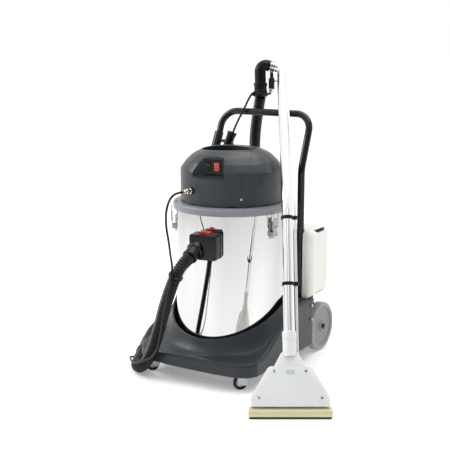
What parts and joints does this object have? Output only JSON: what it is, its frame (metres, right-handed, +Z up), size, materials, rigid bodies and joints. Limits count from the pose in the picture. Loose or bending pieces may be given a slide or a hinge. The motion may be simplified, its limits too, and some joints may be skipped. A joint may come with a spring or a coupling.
{
  "type": "spot extractor",
  "caption": "Wheeled canister extractor with a steel drum, motor head, push handle, clear solution tank, hose and floor wand.",
  "frame": {"origin": "middle of the underside of the whole machine, on the floor, measured without the hoses", "axes": "+Z up; front of the trolley, with the casters, towards -Y; push handle and solution tank towards +Y; +X to the right seen from the front"},
  "size_m": [1.0979, 0.989, 1.1469],
  "materials": {
    "base_plastic": "satin moulded",
    "head_plastic": "satin moulded",
    "ring_plastic": "satin moulded",
    "drum_steel": "mirror polished stainless",
    "chrome_tube": "polished plating",
    "handle_paint": "gloss black",
    "tank_plastic": "translucent blow moulded",
    "nozzle_plastic": "satin translucent",
    "sole_plastic": "cream",
    "black_plastic": "gloss",
    "hose_rubber": "corrugated",
    "black_rubber": "matt",
    "switch_red": "gloss",
    "latch_red": "gloss",
    "tyre_grey": "matt grey",
    "hub_grey": "satin",
    "zinc_steel": "zinc plated",
    "brass": "bright",
    "motor_metal": "cast"
  },
  "bodies": {
    "trolley": {"trolley_base": "base_plastic", "steel_drum": "drum_steel", "drum_rim_seal": "black_rubber", "push_handle": "handle_paint", "handle_bolts": "zinc_steel", "rear_axle": "zinc_steel", "axle_caps": "black_plastic", "inlet_spigot": "black_plastic", "inlet_box": "black_plastic", "hose_cuff": "black_plastic", "latch_base_left": "zinc_steel", "latch_base_right": "zinc_steel", "accessory_holder": "black_plastic", "inlet_deflector": "black_plastic", "wand_tube": "chrome_tube", "wand_elbow": "black_rubber", "trigger_valve": "black_plastic", "valve_fitting": "brass", "solution_line": "chrome_tube", "line_clips": "black_plastic", "nozzle_body": "nozzle_plastic", "nozzle_plate": "nozzle_plastic", "nozzle_screws": "zinc_steel", "nozzle_sole": "sole_plastic", "nozzle_lip": "black_rubber", "spray_jet": "brass", "suction_hose": "hose_rubber", "solution_hose": "black_rubber", "hose_clips": "black_plastic", "hose_swivel": "black_rubber", "wand_collars": "zinc_steel"},
    "head": {"head_ring": "ring_plastic", "head_cover": "head_plastic", "switch_panel": "head_plastic", "vacuum_motor": "motor_metal", "float_cage": "black_plastic", "solution_pump": "motor_metal", "solution_coupling": "brass", "cable_gland": "black_rubber", "head_screws": "zinc_steel"},
    "float": {"float_ball": "nozzle_plastic"},
    "vacuum_rocker": {"vacuum_switch": "black_plastic"},
    "pump_rocker": {"pump_switch": "switch_red"},
    "tank": {"solution_tank": "tank_plastic", "tank_valve": "brass"},
    "tank_cap_body": {"tank_cap": "black_plastic"},
    "hose_release": {"release_latch": "latch_red"},
    "trigger": {"trigger_lever": "black_plastic"},
    "latch_lever_left_body": {"latch_lever_left": "zinc_steel"},
    "latch_bail_left_body": {"latch_bail_left": "zinc_steel"},
    "wheel_left": {"rear_tyre_left": "tyre_grey", "rear_hub_left": "hub_grey"},
    "caster_left": {"caster_fork_left": "zinc_steel"},
    "caster_roller_left": {"caster_wheel_left": "black_rubber"},
    "latch_lever_right_body": {"latch_lever_right": "zinc_steel"},
    "latch_bail_right_body": {"latch_bail_right": "zinc_steel"},
    "wheel_right": {"rear_tyre_right": "tyre_grey", "rear_hub_right": "hub_grey"},
    "caster_right": {"caster_fork_right": "zinc_steel"},
    "caster_roller_right": {"caster_wheel_right": "black_rubber"}
  },
  "joints": [
    {"name": "head_lift", "type": "slide", "parent": "trolley", "child": "head", "axis": [0, 0, 1], "range_m": [0, 0.025]},
    {"name": "float_rise", "type": "slide", "parent": "head", "child": "float", "axis": [0, 0, 1], "range_m": [0, 0.04]},
    {"name": "vacuum_switch_rock", "type": "hinge", "parent": "head", "child": "vacuum_rocker", "pos_m": [-0.17514, -0.11294, 0.778], "axis": [0.9869, 0.1616, 0], "range_deg": [-14, 0]},
    {"name": "pump_switch_rock", "type": "hinge", "parent": "head", "child": "pump_rocker", "pos_m": [-0.14198, -0.10751, 0.778], "axis": [0.9869, 0.1616, 0], "range_deg": [-14, 0]},
    {"name": "solution_tank_lift", "type": "slide", "parent": "trolley", "child": "tank", "axis": [0, 0, 1], "range_m": [0, 0.15]},
    {"name": "tank_cap_turn", "type": "hinge", "parent": "tank", "child": "tank_cap_body", "pos_m": [-0.3149, 0.2926, 0.52], "axis": [0, 0, 1], "range_deg": [0, 360]},
    {"name": "hose_release_press", "type": "slide", "parent": "trolley", "child": "hose_release", "axis": [0, 0, -1], "range_m": [0, 0.003], "stiffness_N_per_m": 800},
    {"name": "trigger_squeeze", "type": "hinge", "parent": "trolley", "child": "trigger", "pos_m": [-0.18954, 0.37896, 1.074], "axis": [0.8526, 0.5225, 0], "range_deg": [0, 10], "stiffness_Nm_per_rad": 1},
    {"name": "latch_lever_left_open", "type": "hinge", "parent": "trolley", "child": "latch_lever_left_body", "pos_m": [-0.34961, -0.09073, 0.537], "axis": [0.549, -0.8358, 0], "range_deg": [0, 150]},
    {"name": "latch_bail_left_swing", "type": "hinge", "parent": "latch_lever_left_body", "child": "latch_bail_left_body", "pos_m": [-0.35463, -0.09403, 0.562], "axis": [0.549, -0.8358, 0], "range_deg": [0, 45]},
    {"name": "wheel_left_spin", "type": "hinge", "parent": "trolley", "child": "wheel_left", "pos_m": [-0.3859, 0.3406, 0.0972], "axis": [1, 0, 0], "continuous": true},
    {"name": "caster_left_swivel", "type": "hinge", "parent": "trolley", "child": "caster_left", "pos_m": [-0.3569, -0.2054, 0.056], "axis": [0, 0, 1], "continuous": true},
    {"name": "caster_left_roll", "type": "hinge", "parent": "caster_left", "child": "caster_roller_left", "pos_m": [-0.36713, -0.21167, 0.025], "axis": [-0.5225, 0.8526, 0], "continuous": true},
    {"name": "latch_lever_right_open", "type": "hinge", "parent": "trolley", "child": "latch_lever_right_body", "pos_m": [0.04887, -0.02548, 0.537], "axis": [0.2538, 0.9673, 0], "range_deg": [0, 150]},
    {"name": "latch_bail_right_swing", "type": "hinge", "parent": "latch_lever_right_body", "child": "latch_bail_right_body", "pos_m": [0.05467, -0.027, 0.562], "axis": [0.2538, 0.9673, 0], "range_deg": [0, 45]},
    {"name": "wheel_right_spin", "type": "hinge", "parent": "trolley", "child": "wheel_right", "pos_m": [0.0561, 0.3406, 0.0972], "axis": [1, 0, 0], "continuous": true},
    {"name": "caster_right_swivel", "type": "hinge", "parent": "trolley", "child": "caster_right", "pos_m": [0.0271, -0.2054, 0.056], "axis": [0, 0, 1], "continuous": true},
    {"name": "caster_right_roll", "type": "hinge", "parent": "caster_right", "child": "caster_roller_right", "pos_m": [0.01687, -0.21167, 0.025], "axis": [-0.5225, 0.8526, 0], "continuous": true}
  ]
}
